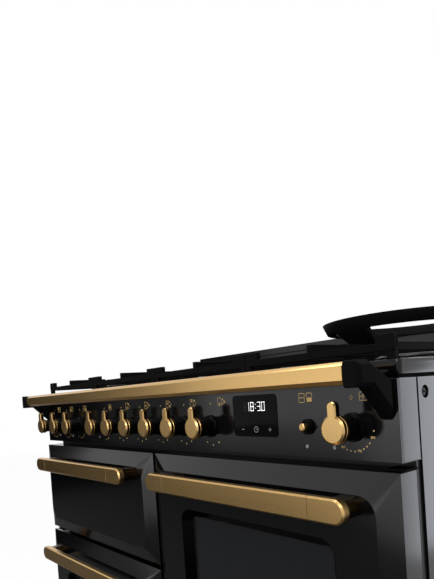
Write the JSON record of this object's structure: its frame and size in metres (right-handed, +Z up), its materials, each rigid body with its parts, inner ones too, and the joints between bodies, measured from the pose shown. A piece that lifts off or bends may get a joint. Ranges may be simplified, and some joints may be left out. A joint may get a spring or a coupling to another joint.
{
  "type": "dual fuel range cooker",
  "caption": "Wide free-standing range cooker with a gas hob, three cooking cavities, a storage drawer, turning knobs and brass handles and rail.",
  "frame": {"origin": "centre of the footprint at floor level, feet screwed fully in", "axes": "+Z up, +X to the right seen from the front, the doors and knobs face -Y"},
  "size_m": [1.0968, 0.662, 0.997],
  "materials": {
    "slate_paint": "deep slate gloss enamel",
    "black_enamel": "gloss black vitreous enamel",
    "oven_enamel": "dark grey speckled enamel",
    "black_steel": "black coated steel",
    "zinc_steel": "galvanised sheet",
    "chrome_wire": "plated wire",
    "fascia_black": "glossy dark panel",
    "lens": "clear neon lens",
    "display_glass": "black glass with white digits",
    "black_plastic": "satin black",
    "black_bracket": "satin black casting",
    "brass": "brushed brass",
    "burner_alloy": "cast alloy",
    "cast_iron": "matt black enamelled",
    "oven_glass": "smoked glass"
  },
  "bodies": {
    "cooker": {"side_panel_left": "slate_paint", "side_panel_right": "slate_paint", "side_screws": "black_steel", "back_panel": "zinc_steel", "base_frame": "zinc_steel", "front_frame": "black_enamel", "plinth": "slate_paint", "fascia_box": "slate_paint", "fascia_glass": "fascia_black", "clock_display": "display_glass", "indicator_lenses": "lens", "button_collar": "black_plastic", "handrail_bar": "brass", "rail_bracket_left": "black_bracket", "rail_bracket_right": "black_bracket", "hob_tray": "black_enamel", "rear_upstand": "black_enamel", "burner_heads": "burner_alloy", "valves_and_switches": "burner_alloy", "grill_liner": "oven_enamel", "left_oven_liner": "oven_enamel", "right_oven_liner": "oven_enamel", "oven_shelves": "chrome_wire", "door_hinges": "black_steel"},
    "feet": {"levelling_feet": "zinc_steel"},
    "light_button": {"light_button": "brass"},
    "grill_door": {"grill_door_skin": "slate_paint", "grill_door_liner": "black_enamel", "grill_door_handle": "brass"},
    "left_door": {"left_door_skin": "slate_paint", "left_door_liner": "black_enamel", "left_door_glass": "oven_glass", "left_door_handle": "brass"},
    "right_door": {"right_door_skin": "slate_paint", "right_door_liner": "black_enamel", "right_door_glass": "oven_glass", "right_door_handle": "brass"},
    "drawer": {"drawer_front": "slate_paint", "drawer_box": "zinc_steel", "drawer_handle": "brass"},
    "burner_cap_1": {"burner_cap_1": "black_enamel"},
    "burner_cap_2": {"burner_cap_2": "black_enamel"},
    "burner_cap_3": {"burner_cap_3": "black_enamel"},
    "burner_cap_4": {"burner_cap_4": "black_enamel"},
    "burner_cap_5": {"burner_cap_5": "black_enamel"},
    "pan_support_1": {"pan_support_1": "cast_iron"},
    "pan_support_2": {"pan_support_2": "cast_iron"},
    "pan_support_3": {"pan_support_3": "cast_iron"},
    "pan_support_4": {"pan_support_4": "cast_iron"},
    "wok_ring": {"wok_ring": "cast_iron"},
    "knob_1": {"knob_1": "brass"},
    "knob_2": {"knob_2": "brass"},
    "knob_3": {"knob_3": "brass"},
    "knob_4": {"knob_4": "brass"},
    "knob_5": {"knob_5": "brass"},
    "knob_6": {"knob_6": "brass"},
    "knob_7": {"knob_7": "brass"},
    "knob_8": {"knob_8": "brass"},
    "knob_9": {"knob_9": "brass"},
    "knob_10": {"knob_10": "brass"}
  },
  "joints": [
    {"name": "feet_adjust", "type": "slide", "parent": "cooker", "child": "feet", "axis": [0, 0, -1], "range_m": [0, 0.025]},
    {"name": "light_push", "type": "slide", "parent": "cooker", "child": "light_button", "axis": [0, 1, 0], "range_m": [0, 0.0025], "stiffness_N_per_m": 200, "springref_m": -0.002},
    {"name": "grill_door_drop", "type": "hinge", "parent": "cooker", "child": "grill_door", "pos_m": [-0.275, -0.2585, 0.5482], "axis": [1, 0, 0], "range_deg": [0, 90]},
    {"name": "left_door_swing", "type": "hinge", "parent": "cooker", "child": "left_door", "pos_m": [-0.538, -0.24, 0.322], "axis": [0, 0, -1], "range_deg": [0, 110]},
    {"name": "right_door_swing", "type": "hinge", "parent": "cooker", "child": "right_door", "pos_m": [0.538, -0.24, 0.53], "axis": [0, 0, 1], "range_deg": [0, 110]},
    {"name": "drawer_slide", "type": "slide", "parent": "cooker", "child": "drawer", "axis": [0, -1, 0], "range_m": [0, 0.36]},
    {"name": "burner_cap_1_lift", "type": "slide", "parent": "cooker", "child": "burner_cap_1", "axis": [0, 0, 1], "range_m": [0, 0.06]},
    {"name": "burner_cap_2_lift", "type": "slide", "parent": "cooker", "child": "burner_cap_2", "axis": [0, 0, 1], "range_m": [0, 0.06]},
    {"name": "burner_cap_3_lift", "type": "slide", "parent": "cooker", "child": "burner_cap_3", "axis": [0, 0, 1], "range_m": [0, 0.06]},
    {"name": "burner_cap_4_lift", "type": "slide", "parent": "cooker", "child": "burner_cap_4", "axis": [0, 0, 1], "range_m": [0, 0.06]},
    {"name": "burner_cap_5_lift", "type": "slide", "parent": "cooker", "child": "burner_cap_5", "axis": [0, 0, 1], "range_m": [0, 0.06]},
    {"name": "pan_support_1_lift", "type": "slide", "parent": "cooker", "child": "pan_support_1", "axis": [0, 0, 1], "range_m": [0, 0.12]},
    {"name": "pan_support_2_lift", "type": "slide", "parent": "cooker", "child": "pan_support_2", "axis": [0, 0, 1], "range_m": [0, 0.12]},
    {"name": "pan_support_3_lift", "type": "slide", "parent": "cooker", "child": "pan_support_3", "axis": [0, 0, 1], "range_m": [0, 0.02]},
    {"name": "pan_support_4_lift", "type": "slide", "parent": "cooker", "child": "pan_support_4", "axis": [0, 0, 1], "range_m": [0, 0.12]},
    {"name": "wok_ring_lift", "type": "slide", "parent": "pan_support_4", "child": "wok_ring", "axis": [0, 0, 1], "range_m": [0, 0.15]},
    {"name": "knob_1_turn", "type": "hinge", "parent": "cooker", "child": "knob_1", "pos_m": [-0.4974, -0.26, 0.8224], "axis": [0, 1, 0], "range_deg": [0, 270]},
    {"name": "knob_2_turn", "type": "hinge", "parent": "cooker", "child": "knob_2", "pos_m": [-0.41903, -0.26, 0.8224], "axis": [0, 1, 0], "range_deg": [0, 270]},
    {"name": "knob_3_turn", "type": "hinge", "parent": "cooker", "child": "knob_3", "pos_m": [-0.34066, -0.26, 0.8224], "axis": [0, 1, 0], "range_deg": [0, 270]},
    {"name": "knob_4_turn", "type": "hinge", "parent": "cooker", "child": "knob_4", "pos_m": [-0.2082, -0.26, 0.8224], "axis": [0, 1, 0], "range_deg": [0, 270]},
    {"name": "knob_5_turn", "type": "hinge", "parent": "cooker", "child": "knob_5", "pos_m": [-0.12983, -0.26, 0.8224], "axis": [0, -1, 0], "range_deg": [0, 210]},
    {"name": "knob_6_turn", "type": "hinge", "parent": "cooker", "child": "knob_6", "pos_m": [-0.05146, -0.26, 0.8224], "axis": [0, -1, 0], "range_deg": [0, 210]},
    {"name": "knob_7_turn", "type": "hinge", "parent": "cooker", "child": "knob_7", "pos_m": [0.02691, -0.26, 0.8224], "axis": [0, -1, 0], "range_deg": [0, 210]},
    {"name": "knob_8_turn", "type": "hinge", "parent": "cooker", "child": "knob_8", "pos_m": [0.10528, -0.26, 0.8224], "axis": [0, -1, 0], "range_deg": [0, 210]},
    {"name": "knob_9_turn", "type": "hinge", "parent": "cooker", "child": "knob_9", "pos_m": [0.18365, -0.26, 0.8224], "axis": [0, -1, 0], "range_deg": [0, 210]},
    {"name": "knob_10_turn", "type": "hinge", "parent": "cooker", "child": "knob_10", "pos_m": [0.47865, -0.26, 0.8224], "axis": [0, 1, 0], "range_deg": [0, 270]}
  ]
}
